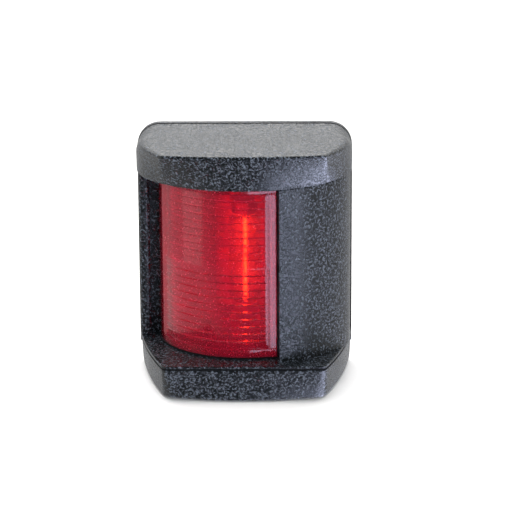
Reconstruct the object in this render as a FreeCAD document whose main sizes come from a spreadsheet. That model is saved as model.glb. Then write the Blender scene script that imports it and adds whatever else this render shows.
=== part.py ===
"""A small boat's side light for a vertical face: one 112.5 degree coloured window in a black hood.

The origin is on the wall face, midway between the two mounting holes. +X is to the right seen from
outside, -Y points away from the wall and +Z is up. A depth is a distance in front of the wall, so
it becomes -Y. The base housing, the hood, the festoon bulb and the cover screw are the four
assemblies; each piece of them is one object of the document and one STEP file.
"""

import FreeCAD, Part
import os
import re

import Sketcher
from FreeCAD import Placement, Rotation, Vector

# Driving dimensions in millimetres (angles in degrees): alias, value, what it is.
DIMENSIONS = [
    ("bottom_z", -36.0, "underside of the base, below the mounting holes"),
    ("rim_z", -25.9, "top rim of the base tray"),
    ("top_z", 39.9, "top of the back plate and the cap at the wall"),
    ("plate_half", 32.4, "half width of the back plate"),
    ("plate_corner", 7.0, "radius of the back plate's upper corners"),
    ("gasket_t", 0.8, "wall gasket thickness"),
    ("plate_front", 3.4, "depth of the back plate's front face"),
    ("seal_t", 0.6, "upright part of the hood seal"),
    ("rim_seal_t", 0.4, "level part of the hood seal"),
    ("seal_width", 3.4, "width of the upright seal strip"),
    ("soft_gap", 0.15, "free gap between the seal and the hood"),
    ("hood_back", 4.2, "depth of the hood's rear edges"),
    ("corner_x", 24.2, "half width between the two front corners"),
    ("corner_depth", 41.5, "depth of the front corners of base rim and cap top"),
    ("base_side_r", 147.0, "radius of the base's long side facets"),
    ("corner_cut", 1.6, "how far the corner rounding reaches along the edges"),
    ("corner_r", 2.0, "radius of the front corners"),
    ("rim_front_r", 900.0, "radius of the rim's almost straight front edge"),
    ("foot_corner_x", 23.8, "half width between the front corners of the underside"),
    ("foot_corner_depth", 38.4, "depth of those corners"),
    ("foot_corner_cut", 3.6, "how far the underside's corner rounding reaches"),
    ("foot_corner_r", 5.0, "radius of the underside's corners"),
    ("foot_front_r", 82.0, "radius of the underside's front edge"),
    ("foot_half", 31.8, "half width of the underside at the wall"),
    ("wall", 2.4, "general moulding thickness"),
    ("tray_floor", 2.6, "thickness of the tray's floor"),
    ("mount_x", 18.5, "mounting holes from the centre line"),
    ("mount_r", 2.1, "mounting hole radius"),
    ("cable_x", 15.6, "cable entry, right of the centre line"),
    ("cable_z", -17.0, "cable entry height"),
    ("cable_hole_r", 4.5, "cable entry hole in the back plate"),
    ("cable_r", 2.6, "bore of the grommet"),
    ("grommet_r", 6.0, "grommet flange radius"),
    ("grommet_front", 5.4, "depth of the grommet's front lip"),
    ("grommet_back", 0.2, "depth of the grommet's rear lip"),
    ("shield_r", 34.5, "front radius of the shield"),
    ("shield_centre", 5.0, "depth of that arc's centre"),
    ("shield_corner_x", 23.9, "where the front arc meets the side arcs"),
    ("cap_turn", 1.2, "half the width of the cap's corner facets at their lower end"),
    ("cap_turn_r", 30.0, "radius of those corners at their lower end"),
    ("shield_side_r", 23.6, "radius of the shield's side arcs"),
    ("shield_half", 31.8, "half width of the shield"),
    ("shield_side_depth", 12.0, "depth where the straight sides start"),
    ("cap_overhang", 0.4, "how far the cap stands proud of the shield"),
    ("cap_z", 27.9, "underside of the cap"),
    ("cap_side_x", 32.4, "half width of the cap's top"),
    ("cap_side_depth", 13.0, "depth where the cap's straight sides start"),
    ("cap_side_r", 65.0, "radius of the cap's top side edges"),
    ("cap_front_r", 150.0, "radius of the cap's top front edge"),
    ("cap_tilt", 1.2, "slope of the cap's top, down to the front"),
    ("cap_hollow_r", 20.5, "radius of the hollow under the cap"),
    ("cap_hollow_deep", 8.5, "height of the hollow under the cap"),
    ("edge_r", 1.3, "rounding of the outer edges"),
    ("flange_z", -24.65, "top of the hood's flange"),
    ("flange_t", 0.7, "flange thickness"),
    ("flange_bore_r", 22.4, "opening through the flange"),
    ("lens_depth", 9.3, "depth of the lens axis"),
    ("lens_r", 25.6, "outer radius of the lens"),
    ("lens_band", 0.3, "how far the plain end bands stand proud"),
    ("lens_t", 2.2, "lens thickness"),
    ("lens_foot", 2.5, "height of the lower plain band"),
    ("lens_head", 1.6, "height of the upper plain band"),
    ("lens_seal_t", 0.6, "thickness of the lens seals"),
    ("lens_back", 7.6, "depth of the lens's left end"),
    ("jamb_x", 10.3, "right edge of the window"),
    ("post_front", 11.0, "front edge of the left post"),
    ("post_t", 3.1, "thickness of the left post"),
    ("web_t", 2.0, "thickness of the web and the jamb wall"),
    ("jamb_back", 28.6, "rear edge of the jamb wall"),
    ("bulb_depth", 9.3, "depth of the bulb's axis"),
    ("glass_r", 5.0, "bulb glass radius"),
    ("glass_t", 0.5, "bulb glass thickness"),
    ("glass_half", 13.0, "half length of the glass's straight part"),
    ("glass_neck_r", 3.3, "glass radius inside the caps"),
    ("glass_end", 15.4, "half length of the glass"),
    ("cap_start", 13.9, "where the bulb's metal caps start"),
    ("ferrule_r", 3.8, "metal cap radius"),
    ("cone_start", 17.3, "where the caps' cones start"),
    ("cone_end", 19.9, "half length of the bulb"),
    ("cone_tip_r", 1.6, "radius of the cones' tips"),
    ("filament_r", 0.45, "radius of the wound filament"),
    ("filament_half", 12.0, "half length of the filament"),
    ("lead_r", 0.25, "radius of the filament's lead wires"),
    ("contact_z", 18.4, "inner face of the contact leaves"),
    ("leaf_t", 0.5, "contact leaf thickness"),
    ("leaf_half", 4.5, "half width of the contacts"),
    ("leaf_front", 14.6, "depth of the leaves' front edge"),
    ("slot_half", 2.95, "half width of the leaves' slots"),
    ("foot_end_z", 27.3, "outer end of the contact feet"),
    ("rivet_z", 20.8, "contact rivets from the bulb's centre"),
    ("rivet_r", 0.8, "rivet shank radius"),
    ("rivet_head_r", 1.35, "rivet head radius"),
    ("terminal_z", 24.9, "terminal screws from the bulb's centre"),
    ("terminal_r", 1.2, "terminal screw shank radius"),
    ("terminal_head_r", 2.1, "terminal screw head radius"),
    ("terminal_plate_r", 2.3, "wire clamp washer radius"),
    ("heat_half_x", 9.0, "half width of the heat shield"),
    ("heat_half_z", 17.6, "half height of the heat shield"),
    ("heat_t", 0.4, "heat shield thickness"),
    ("heat_rivet_x", 7.2, "heat shield rivets from the centre line"),
    ("screw_depth", 27.0, "depth of the cover screw's axis"),
    ("screw_r", 1.5, "cover screw shank radius"),
    ("screw_head_r", 2.9, "cover screw head radius"),
    ("screw_head_z", -34.1, "seat of the cover screw's head"),
    ("screw_low_z", -35.9, "lowest face of the cover screw"),
    ("screw_top_z", -22.0, "tip of the cover screw"),
    ("screw_hole_r", 1.7, "clearance hole in the base"),
    ("sink_r", 3.6, "counterbore radius"),
    ("sink_z", -33.0, "roof of the counterbore"),
    ("boss_r", 4.4, "screw boss radius"),
    ("boss_top_z", -28.0, "top of the base's screw boss"),
    ("insert_r", 2.4, "threaded insert outer radius"),
    ("insert_bore_r", 1.55, "threaded insert bore radius"),
    ("insert_low_z", -27.5, "lower end of the insert"),
    ("insert_top_z", -21.5, "upper end of the insert"),
    ("slot_width", 0.8, "screwdriver slot width"),
    ("slot_deep", 0.8, "screwdriver slot depth"),
    ("cap_screw_r", 0.9, "cap screw shank radius"),
    ("cap_screw_head_r", 1.6, "cap screw head radius"),
    ("cap_screw_low_z", 18.6, "underside of the cap screws' heads"),
    ("cap_screw_seat_z", 20.0, "seat of the cap screws' heads"),
    ("cap_screw_top_z", 33.0, "tips of the cap screws"),
    ("cap_boss_r", 2.2, "radius of the cap screw bosses"),
]
ALIASES = {alias for alias, _, _ in DIMENSIONS}

doc = FreeCAD.newDocument("SideLight")
sheet = doc.addObject("Spreadsheet::Sheet", "Dim")
for row, (alias, value, note) in enumerate(DIMENSIONS, start=1):
    sheet.set(f"A{row}", note)
    sheet.set(f"B{row}", str(value))
    sheet.setAlias(f"B{row}", alias)
doc.recompute()

PIECES = []


# ---------------------------------------------------------------- helpers

def ref(text):
    """The expression with every alias pointed at the sheet."""
    return re.sub(r"[a-z_]+", lambda m: "Dim." + m[0] if m[0] in ALIASES else m[0], str(text))


def number(text):
    """The expression's value now."""
    return float(sheet.evalExpression(ref(text)))


def bind(obj, prop, text):
    """Binds one property to an expression of the sheet."""
    obj.setExpression(prop, ref(text))


def keep(obj, label):
    """Marks an object as a piece of the light; the label names its file."""
    obj.Label = label
    PIECES.append(obj)
    return obj


def new_body(label):
    """A PartDesign body that is one piece."""
    return keep(doc.addObject("PartDesign::Body", label), label)


def new_sketch(body, plane, offset="0", tilt="0"):
    """A sketch on one of the body's origin planes, moved along its normal."""
    sketch = body.newObject("Sketcher::SketchObject", body.Label + "_sketch")
    origin = [f for f in body.Origin.OriginFeatures if f.Role == plane][0]
    sketch.AttachmentSupport = [(origin, "")]
    sketch.MapMode = "FlatFace"
    sketch.AttachmentOffset = Placement(Vector(), Rotation(Vector(1, 0, 0), number(tilt)))
    bind(sketch, "AttachmentOffset.Base.z", offset)
    return sketch


def corner(sketch, edge, point):
    """Which end of an edge is at the point, as the sketcher counts ends."""
    return 1 if sketch.getPoint(edge, 1).distanceToPoint(point) < 1e-6 else 2


def outline(sketch, points, arcs=None, flip=True):
    """A closed outline. points are pairs of expressions, across and depth (or height where flip is
    off). arcs maps an edge's number to its radius; positive bulges to the right of the way round."""
    arcs = arcs or {}
    sign = "-" if flip else ""
    if flip:
        points = points[::-1]
        arcs = {(len(points) - 2 - n) % len(points): radius for n, radius in arcs.items()}
    spots = [(x, f"{sign}({y})") for x, y in points]
    places = [Vector(number(x), number(y), 0) for x, y in spots]
    edges = []
    for n, start in enumerate(places):
        end = places[(n + 1) % len(places)]
        if n in arcs:
            radius = number(arcs[n])
            chord = end - start
            side = Vector(chord.y, -chord.x, 0).normalize()
            rise = abs(radius) - (radius * radius - chord.Length ** 2 / 4) ** 0.5
            middle = (start + end) / 2 + side * rise * (1 if radius > 0 else -1)
            edges.append(sketch.addGeometry(Part.Arc(start, middle, end), False))
        else:
            edges.append(sketch.addGeometry(Part.LineSegment(start, end), False))
    for n, edge in enumerate(edges):
        end = places[(n + 1) % len(places)]
        after = edges[(n + 1) % len(edges)]
        joint = (edge, corner(sketch, edge, end), after, corner(sketch, after, end))
        sketch.addConstraint(Sketcher.Constraint("Coincident", *joint))
    for n, edge in enumerate(edges):
        place = corner(sketch, edge, places[n])
        for kind, value, text in zip(("DistanceX", "DistanceY"), places[n], spots[n]):
            index = sketch.addConstraint(Sketcher.Constraint(kind, -1, 1, edge, place, value))
            bind(sketch, f"Constraints[{index}]", text)
        if n in arcs:
            radius = abs(number(arcs[n]))
            index = sketch.addConstraint(Sketcher.Constraint("Radius", edge, radius))
            bind(sketch, f"Constraints[{index}]", f"abs({arcs[n]})")
    return sketch


def rectangle(sketch, x0, x1, y0, y1, flip=True):
    """A rectangle between two places across and two depths (or heights)."""
    return outline(sketch, [(x0, y0), (x1, y0), (x1, y1), (x0, y1)], flip=flip)


def circle(sketch, x, y, radius, flip=True):
    """A circle whose centre and radius are bound to expressions."""
    sign = "-" if flip else ""
    spots = (x, f"{sign}({y})")
    centre = Vector(number(spots[0]), number(spots[1]), 0)
    edge = sketch.addGeometry(Part.Circle(centre, Vector(0, 0, 1), number(radius)), False)
    for kind, value, text in zip(("DistanceX", "DistanceY"), centre, spots):
        index = sketch.addConstraint(Sketcher.Constraint(kind, -1, 1, edge, 3, value))
        bind(sketch, f"Constraints[{index}]", text)
    index = sketch.addConstraint(Sketcher.Constraint("Radius", edge, number(radius)))
    bind(sketch, f"Constraints[{index}]", radius)
    return sketch


def pad(body, sketch, length, kind="Pad"):
    """Adds (or with kind Pocket removes) the sketch's profile along its normal."""
    before = body.Shape.Volume if body.Tip else 0.0
    feature = body.newObject("PartDesign::" + kind, body.Label + "_" + kind.lower())
    feature.Profile = sketch
    feature.Reversed = kind == "Pocket"
    bind(feature, "Length", length)
    doc.recompute()
    grown = body.Shape.Volume - before
    if (grown <= 0) if kind == "Pad" else (grown >= 0):
        raise RuntimeError(f"{body.Label}: a {kind} changed nothing")
    return feature


def pocket(body, sketch, length):
    """Removes the sketch's profile along its normal."""
    return pad(body, sketch, length, kind="Pocket")


def loft(body, first, *others):
    """A ruled loft through a run of sketches."""
    feature = body.newObject("PartDesign::AdditiveLoft", body.Label + "_loft")
    feature.Profile = first
    feature.Sections = list(others)
    feature.Ruled = True
    doc.recompute()
    return feature


def round_edges(body, radius, wanted):
    """Rounds the edges that the test picks from the body's present shape."""
    base = body.Tip
    names = [f"Edge{n}" for n, edge in enumerate(base.Shape.Edges, start=1) if wanted(edge)]
    if not names:
        raise RuntimeError(f"{body.Label}: no edge to round")
    feature = body.newObject("PartDesign::Fillet", body.Label + "_fillet")
    feature.Base = (base, names)
    bind(feature, "Radius", radius)
    doc.recompute()
    return feature


def turned(label, points, depth):
    """A piece turned about an upright axis, from a half profile of radius and height pairs."""
    body = new_body(label)
    sketch = new_sketch(body, "XZ_Plane")
    outline(sketch, points, flip=False)
    feature = body.newObject("PartDesign::Revolution", label + "_turning")
    feature.Profile = sketch
    feature.ReferenceAxis = (sketch, ["V_Axis"])
    feature.Angle = 360.0
    doc.recompute()
    bind(body, "Placement.Base.y", f"-({depth})")
    return body


def rod(x, depth, z, radius, length, along="z"):
    """A cylinder from a point, up (z) or outwards from the wall (depth)."""
    piece = doc.addObject("Part::Cylinder", "rod")
    turn = Rotation() if along == "z" else Rotation(Vector(1, 0, 0), 90)
    piece.Placement = Placement(Vector(), turn)
    bind(piece, "Radius", radius)
    bind(piece, "Height", length)
    for axis, text in (("x", x), ("y", f"-({depth})"), ("z", z)):
        bind(piece, "Placement.Base." + axis, text)
    return piece


def block(x0, x1, d0, d1, z0, z1):
    """A box between two places across, two depths and two heights."""
    piece = doc.addObject("Part::Box", "block")
    for prop, low, high in (("Length", x0, x1), ("Width", d0, d1), ("Height", z0, z1)):
        bind(piece, prop, f"({high}) - ({low})")
    for axis, text in (("x", x0), ("y", f"-({d1})"), ("z", z0)):
        bind(piece, "Placement.Base." + axis, text)
    return piece


def fused(*pieces):
    """The pieces joined into one solid."""
    joined = doc.addObject("Part::MultiFuse", "fused")
    joined.Shapes = list(pieces)
    return joined


def cut(piece, *tools):
    """The piece less the tools."""
    for tool in tools:
        result = doc.addObject("Part::Cut", "cut")
        result.Base = piece
        result.Tool = tool
        piece = result
    return piece


def group(label, pieces):
    """Like pieces that share a node, each a separate solid."""
    compound = doc.addObject("Part::Compound", label)
    compound.Links = pieces
    return keep(compound, label)


# ---------------------------------------------------------------- shared outlines

def tray_outline(side, back, across, front, reach, turn_r, front_r):
    """Long side edges from the wall to two rounded corners, and a front edge between them."""
    points = [
        (side, back),
        (f"{across} + 0.2 * ({reach})", f"{front} - 0.98 * ({reach})"),
        (f"{across} - ({reach})", front),
        (f"-({across}) + ({reach})", front),
        (f"-({across}) - 0.2 * ({reach})", f"{front} - 0.98 * ({reach})"),
        (f"-({side})", back),
    ]
    return points, {0: "base_side_r", 1: turn_r, 2: front_r, 3: turn_r, 4: "base_side_r"}


def foot_outline(inset="0"):
    """The outline of the base's underside."""
    return tray_outline(f"foot_half - ({inset})", "gasket_t", f"(foot_corner_x - ({inset}))",
                        f"(foot_corner_depth - ({inset}))", "foot_corner_cut", "foot_corner_r",
                        "foot_front_r")


def base_rim(inset="0", back="hood_back"):
    """The outline that the base's rim, the level seal and the hood's flange share."""
    return tray_outline(f"plate_half - ({inset})", back, f"(corner_x - ({inset}))",
                        f"(corner_depth - ({inset}))", "corner_cut", "corner_r", "rim_front_r")


def on_front(x, inset):
    """The depth of the shield's front arc at a place across."""
    return f"(shield_centre + sqrt((shield_r - ({inset})) ^ 2 - ({x}) ^ 2))"


def on_side(x, inset):
    """The depth of the shield's side arcs at a place across."""
    centre = "(shield_half - shield_side_r)"
    return f"(shield_side_depth + sqrt((shield_side_r - ({inset})) ^ 2 - (({x}) - {centre}) ^ 2))"


def shield_outline(inset="0", back="hood_back"):
    """The shield's D: a broad front arc, tighter side arcs and straight sides."""
    half = f"shield_half - ({inset})"
    turn = f"(shield_corner_x * (1 - ({inset}) / shield_r))"
    points = [
        (half, back),
        (half, "shield_side_depth"),
        (turn, on_front(turn, inset)),
        (f"-{turn}", on_front(turn, inset)),
        (f"-({half})", "shield_side_depth"),
        (f"-({half})", back),
    ]
    side = f"shield_side_r - ({inset})"
    return points, {1: side, 2: f"shield_r - ({inset})", 3: side}


def cap_outline(half, side_depth, outer, inner, arcs):
    """The cap's outline at one height; outer and inner are the two ends of a front corner."""
    points = [
        (half, "hood_back"),
        (half, side_depth),
        outer,
        inner,
        (f"-({inner[0]})", inner[1]),
        (f"-({outer[0]})", outer[1]),
        (f"-({half})", side_depth),
        (f"-({half})", "hood_back"),
    ]
    side, turn, front = arcs
    return points, {1: side, 2: turn, 3: front, 4: turn, 5: side}


# ---------------------------------------------------------------- base

def base_housing():
    """The back plate and the tray under the hood, moulded in one, with the screw boss."""
    body = new_body("base_housing")
    under = new_sketch(body, "XY_Plane", "bottom_z")
    outline(under, *foot_outline("edge_r"))
    foot = new_sketch(body, "XY_Plane", "bottom_z + edge_r")
    outline(foot, *foot_outline())
    rim = new_sketch(body, "XY_Plane", "rim_z")
    outline(rim, *base_rim(back="gasket_t"))
    loft(body, under, foot, rim)
    tray = new_sketch(body, "XY_Plane", "bottom_z + tray_floor")
    outline(tray, *base_rim(inset="wall * 1.25", back="plate_front"))
    pocket(body, tray, "rim_z - bottom_z")
    plate = new_sketch(body, "XZ_Plane", "gasket_t")
    outline(plate, *back_plate_outline("rim_z - wall"), flip=False)
    pad(body, plate, "plate_front - gasket_t")
    boss = new_sketch(body, "XY_Plane", "bottom_z + tray_floor / 2")
    circle(boss, "0", "screw_depth", "boss_r")
    pad(body, boss, "boss_top_z - bottom_z - tray_floor / 2")
    holes = new_sketch(body, "XZ_Plane", "0")
    for side in ("", "-"):
        circle(holes, side + "mount_x", "0", "mount_r", flip=False)
    circle(holes, "cable_x", "cable_z", "cable_hole_r", flip=False)
    pocket(body, holes, "plate_front + 1")
    clearance = new_sketch(body, "XY_Plane", "bottom_z - 1")
    circle(clearance, "0", "screw_depth", "screw_hole_r")
    pocket(body, clearance, "boss_top_z - bottom_z + 2")
    sink = new_sketch(body, "XY_Plane", "bottom_z - 1")
    circle(sink, "0", "screw_depth", "sink_r")
    pocket(body, sink, "sink_z - bottom_z + 1")
    return body


def back_plate_outline(low, inset="0"):
    """The back plate's outline above a height, with rounded upper corners."""
    half = f"plate_half - ({inset})"
    top = f"top_z - ({inset})"
    radius = f"plate_corner - ({inset})"
    points = [
        (half, low),
        (half, f"{top} - ({radius})"),
        (f"{half} - ({radius})", top),
        (f"-({half}) + ({radius})", top),
        (f"-({half})", f"{top} - ({radius})"),
        (f"-({half})", low),
    ]
    return points, {1: radius, 3: radius}


def wall_gasket():
    """A sheet of closed-cell foam behind the whole base."""
    body = new_body("wall_gasket")
    sheet_outline = new_sketch(body, "XZ_Plane", "0")
    outline(sheet_outline, *back_plate_outline("bottom_z + edge_r", "edge_r"), flip=False)
    for side in ("", "-"):
        circle(sheet_outline, side + "mount_x", "0", "mount_r + 0.2", flip=False)
    circle(sheet_outline, "cable_x", "cable_z", "grommet_r + 0.2", flip=False)
    pad(body, sheet_outline, "gasket_t")


def hood_seal():
    """The black rubber seal: up both sides, over the top and round the tray's rim."""
    body = new_body("hood_seal")
    upright = new_sketch(body, "XZ_Plane", "plate_front")
    outline(upright, *back_plate_outline("rim_z"), flip=False)
    pad(body, upright, "seal_t")
    middle = new_sketch(body, "XZ_Plane", "plate_front")
    rectangle(middle, "-plate_half + seal_width", "plate_half - seal_width",
              "rim_z - 1", "top_z - seal_width", flip=False)
    pocket(body, middle, "seal_t + 1")
    level = new_sketch(body, "XY_Plane", "rim_z")
    outline(level, *base_rim(back="plate_front"))
    pad(body, level, "rim_seal_t")
    inside = new_sketch(body, "XY_Plane", "rim_z - 1")
    outline(inside, *base_rim(inset="wall", back="plate_front - 1"))
    pocket(body, inside, "rim_seal_t + 1")


def heat_shield():
    """A thin aluminium plate between the bulb and the back plate."""
    body = new_body("heat_shield")
    plate = new_sketch(body, "XZ_Plane", "plate_front")
    rectangle(plate, "-heat_half_x", "heat_half_x", "-heat_half_z", "heat_half_z", flip=False)
    for side in ("", "-"):
        circle(plate, side + "heat_rivet_x", "0", "rivet_r", flip=False)
    pad(body, plate, "heat_t")


def rivet(x, z, seat):
    """A rivet through a sheet that lies on the back plate."""
    shank = rod(x, "plate_front", z, "rivet_r", seat, along="depth")
    head = rod(x, f"plate_front + ({seat})", z, "rivet_head_r", "0.45", along="depth")
    return fused(shank, head)


def contact(label, side):
    """A brass contact: a foot on the back plate and a leaf slotted open to the front."""
    body = new_body(label)
    foot = new_sketch(body, "XZ_Plane", "plate_front")
    low, high = (f"{side}contact_z", f"{side}foot_end_z")
    rectangle(foot, "-leaf_half", "leaf_half", low, high, flip=False)
    circle(foot, "0", f"{side}rivet_z", "rivet_r", flip=False)
    circle(foot, "0", f"{side}terminal_z", "terminal_r", flip=False)
    pad(body, foot, "leaf_t")
    inner = f"{side}contact_z" if not side else "-contact_z - leaf_t"
    leaf = new_sketch(body, "XY_Plane", inner)
    points = [
        ("-leaf_half", "plate_front"),
        ("-leaf_half", "leaf_front"),
        ("-slot_half", "leaf_front"),
        ("-slot_half", "bulb_depth"),
        ("slot_half", "bulb_depth"),
        ("slot_half", "leaf_front"),
        ("leaf_half", "leaf_front"),
        ("leaf_half", "plate_front"),
    ]
    outline(leaf, points, {3: "slot_half + 0.001"})
    pad(body, leaf, "leaf_t")
    inside = number("contact_z") + 0.01
    round_edges(body, "leaf_t", lambda edge: abs(edge.BoundBox.Center.z) < inside
                and edge.BoundBox.XLength > 8 and abs(edge.BoundBox.YMax + number("plate_front")) < 0.01)


def terminal_screw(side):
    """A slotted brass screw that clamps a wire on a contact's foot."""
    seat = "plate_front + leaf_t + 0.5"
    shank = rod("0", "plate_front", f"{side}terminal_z", "terminal_r", "leaf_t + 0.5", along="depth")
    head = rod("0", seat, f"{side}terminal_z", "terminal_head_r", "1.1", along="depth")
    slot = block("-terminal_head_r", "terminal_head_r", f"{seat} + 0.6", f"{seat} + 2",
                 f"{side}terminal_z - 0.25", f"{side}terminal_z + 0.25")
    return cut(fused(shank, head), slot)


def terminal_washer(side):
    """The washer under a terminal screw's head."""
    place = ("0", "plate_front + leaf_t", f"{side}terminal_z")
    disc = rod(*place, "terminal_plate_r", "0.5", along="depth")
    return cut(disc, rod(*place, "terminal_r", "0.5", along="depth"))


def cable_grommet():
    """The rubber grommet in the back plate's cable hole."""
    place = ("cable_x", "grommet_back", "cable_z")
    rear = rod(*place, "grommet_r", "gasket_t - grommet_back", along="depth")
    neck = rod("cable_x", "gasket_t", "cable_z", "cable_hole_r", "plate_front - gasket_t", along="depth")
    lip = rod("cable_x", "plate_front", "cable_z", "grommet_r", "(grommet_front - plate_front) / 2",
              along="depth")
    nose = rod("cable_x", "plate_front", "cable_z", "cable_hole_r", "grommet_front - plate_front",
               along="depth")
    bore = rod(*place, "cable_r", "grommet_front", along="depth")
    keep(cut(fused(rear, neck, lip, nose), bore), "cable_grommet")


# ---------------------------------------------------------------- hood

def shield():
    """The black shell: rear post, web, jamb wall, flange, screw tab and the solid right side."""
    body = new_body("shield")
    shell = new_sketch(body, "XY_Plane", "flange_z - flange_t")
    outline(shell, *shield_outline())
    pad(body, shell, "cap_z - flange_z + flange_t")
    hollow = new_sketch(body, "XY_Plane", "flange_z - flange_t - 1")
    outline(hollow, *shield_outline(inset="wall", back="0"))
    pocket(body, hollow, "cap_z - flange_z + 10")
    window = new_sketch(body, "XY_Plane", "flange_z - flange_t - 1")
    rectangle(window, "-50", "jamb_x", "post_front", "50")
    pocket(body, window, "cap_z - flange_z + 10")
    inner_x = "shield_half - wall / 2"
    webs = new_sketch(body, "XY_Plane", "flange_z - flange_t")
    rectangle(webs, f"-({inner_x})", "-lens_r + lens_t", "lens_back - web_t", "lens_back")
    pad(body, webs, "cap_z - flange_z + flange_t")
    post = new_sketch(body, "XY_Plane", "flange_z - flange_t")
    rectangle(post, f"-({inner_x})", "-shield_half + post_t", "lens_back - web_t", "post_front")
    pad(body, post, "cap_z - flange_z + flange_t")
    jamb = new_sketch(body, "XY_Plane", "flange_z - flange_t")
    rectangle(jamb, "jamb_x", "jamb_x + web_t", "jamb_back",
              on_front("jamb_x + web_t", "wall / 2"))
    pad(body, jamb, "cap_z - flange_z + flange_t")
    flange = new_sketch(body, "XY_Plane", "flange_z - flange_t")
    outline(flange, *base_rim())
    bore = [
        ("flange_bore_r", "hood_back - 2"),
        ("flange_bore_r", "lens_depth"),
        ("-flange_bore_r", "lens_depth"),
        ("-flange_bore_r", "hood_back - 2"),
    ]
    pad(body, flange, "flange_t")
    opening = new_sketch(body, "XY_Plane", "flange_z - flange_t - 1")
    outline(opening, bore, {1: "flange_bore_r + 0.001"})
    pocket(body, opening, "flange_t + 1")
    tab = new_sketch(body, "XY_Plane", "insert_low_z")
    rectangle(tab, "-boss_r", "boss_r", "screw_depth", "lens_depth + lens_r")
    pad(body, tab, "flange_z - insert_low_z")
    boss = new_sketch(body, "XY_Plane", "insert_low_z")
    circle(boss, "0", "screw_depth", "boss_r")
    pad(body, boss, "insert_top_z - insert_low_z")
    seat = new_sketch(body, "XY_Plane", "insert_low_z - 1")
    circle(seat, "0", "screw_depth", "insert_r")
    pocket(body, seat, "insert_top_z - insert_low_z + 2")
    bosses = new_sketch(body, "XY_Plane", "cap_screw_seat_z")
    for x, depth in CAP_SCREWS:
        circle(bosses, x, depth, "cap_boss_r")
    pad(body, bosses, "cap_z - cap_screw_seat_z")
    holes = new_sketch(body, "XY_Plane", "cap_screw_low_z")
    for x, depth in CAP_SCREWS:
        circle(holes, x, depth, "cap_screw_r")
    pocket(body, holes, "cap_z - cap_screw_low_z + 1")
    heads = new_sketch(body, "XY_Plane", "cap_screw_low_z - 1")
    for x, depth in CAP_SCREWS:
        circle(heads, x, depth, "cap_screw_head_r")
    pocket(body, heads, "cap_screw_seat_z - cap_screw_low_z + 1")
    return body


# Places of the screws that hold the cap on the shield, across and depth.
CAP_SCREWS = [
    ("shield_half - wall - 0.8", "shield_side_depth"),
    ("jamb_x + web_t + 1.2", "jamb_back + 2"),
]


def top_cap():
    """The cap: a rounded trapezoid above that runs down into the shield's D, hollow underneath."""
    body = new_body("top_cap")
    lower = new_sketch(body, "XY_Plane", "cap_z")
    proud = "-cap_overhang"
    outer_x = "(shield_corner_x + cap_turn)"
    inner_x = "(shield_corner_x - cap_turn)"
    outer = (outer_x, on_side(outer_x, proud))
    inner = (inner_x, on_front(inner_x, proud))
    side_r = "shield_side_r + cap_overhang"
    arcs = (side_r, "cap_turn_r", "shield_r + cap_overhang")
    outline(lower, *cap_outline("shield_half + cap_overhang", "shield_side_depth", outer, inner, arcs))
    sections = []
    for drop, inset in (("edge_r", "0"), ("0", "edge_r")):
        upper = new_sketch(body, "XY_Plane", f"top_z - {drop}", tilt="cap_tilt")
        outer = (f"corner_x + 0.3 * corner_cut - 0.9 * {inset}",
                 f"corner_depth - 0.95 * corner_cut - 0.5 * {inset}")
        inner = (f"corner_x - corner_cut - 0.6 * {inset}", f"corner_depth - {inset}")
        arcs = ("cap_side_r", "corner_r", "cap_front_r")
        half = f"cap_side_x - {inset}"
        outline(upper, *cap_outline(half, "cap_side_depth", outer, inner, arcs))
        sections.append(upper)
    loft(body, lower, *sections)
    hollow = new_sketch(body, "XY_Plane", "cap_z - 1")
    points = [
        ("cap_hollow_r", "hood_back + wall"),
        ("cap_hollow_r", "lens_depth"),
        ("-cap_hollow_r", "lens_depth"),
        ("-cap_hollow_r", "hood_back + wall"),
    ]
    outline(hollow, points, {1: "cap_hollow_r + 0.001"})
    pocket(body, hollow, "cap_hollow_deep + 1")
    holes = new_sketch(body, "XY_Plane", "cap_z - 1")
    for x, depth in CAP_SCREWS:
        circle(holes, x, depth, "cap_screw_r")
    pocket(body, holes, "cap_screw_top_z - cap_z + 1.5")
    return body


def lens_outline(outer, inner):
    """A ring sector about the lens axis, from the right jamb round to the left rear edge."""
    def depth_at(radius):
        return f"lens_depth + sqrt(({radius}) ^ 2 - jamb_x ^ 2)"
    points = [
        ("jamb_x", depth_at(inner)),
        ("jamb_x", depth_at(outer)),
        (f"-({outer})", "lens_depth"),
        (f"-({outer})", "lens_back"),
        (f"-({inner})", "lens_back"),
        (f"-({inner})", "lens_depth"),
    ]
    return points, {1: f"({outer}) * 1.00001", 5: f"-({inner}) * 1.00001"}


def lens():
    """The red lens: a plain band at each end and a thinner ribbed field between them."""
    body = new_body("lens")
    low = "flange_z + lens_seal_t"
    high = "cap_z - lens_seal_t"
    foot = new_sketch(body, "XY_Plane", low)
    outline(foot, *lens_outline("lens_r + lens_band", "lens_r - lens_t"))
    pad(body, foot, "lens_foot")
    field = new_sketch(body, "XY_Plane", f"{low} + lens_foot")
    outline(field, *lens_outline("lens_r", "lens_r - lens_t"))
    pad(body, field, f"{high} - ({low}) - lens_foot - lens_head")
    head = new_sketch(body, "XY_Plane", f"{high} - lens_head")
    outline(head, *lens_outline("lens_r + lens_band", "lens_r - lens_t"))
    pad(body, head, "lens_head")


def lens_seal(label, low):
    """A strip of rubber under or over the lens."""
    body = new_body(label)
    strip = new_sketch(body, "XY_Plane", low)
    outline(strip, *lens_outline("lens_r + lens_band", "lens_r - lens_t"))
    pad(body, strip, "lens_seal_t")


def lens_lock_strip():
    """The strip that holds the lens's right edge against the jamb."""
    body = new_body("lens_lock_strip")
    strip = new_sketch(body, "XY_Plane", "flange_z")
    rectangle(strip, "jamb_x - 2", "jamb_x", "jamb_back", "jamb_back + 1.6")
    pad(body, strip, "cap_z - flange_z")


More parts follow.
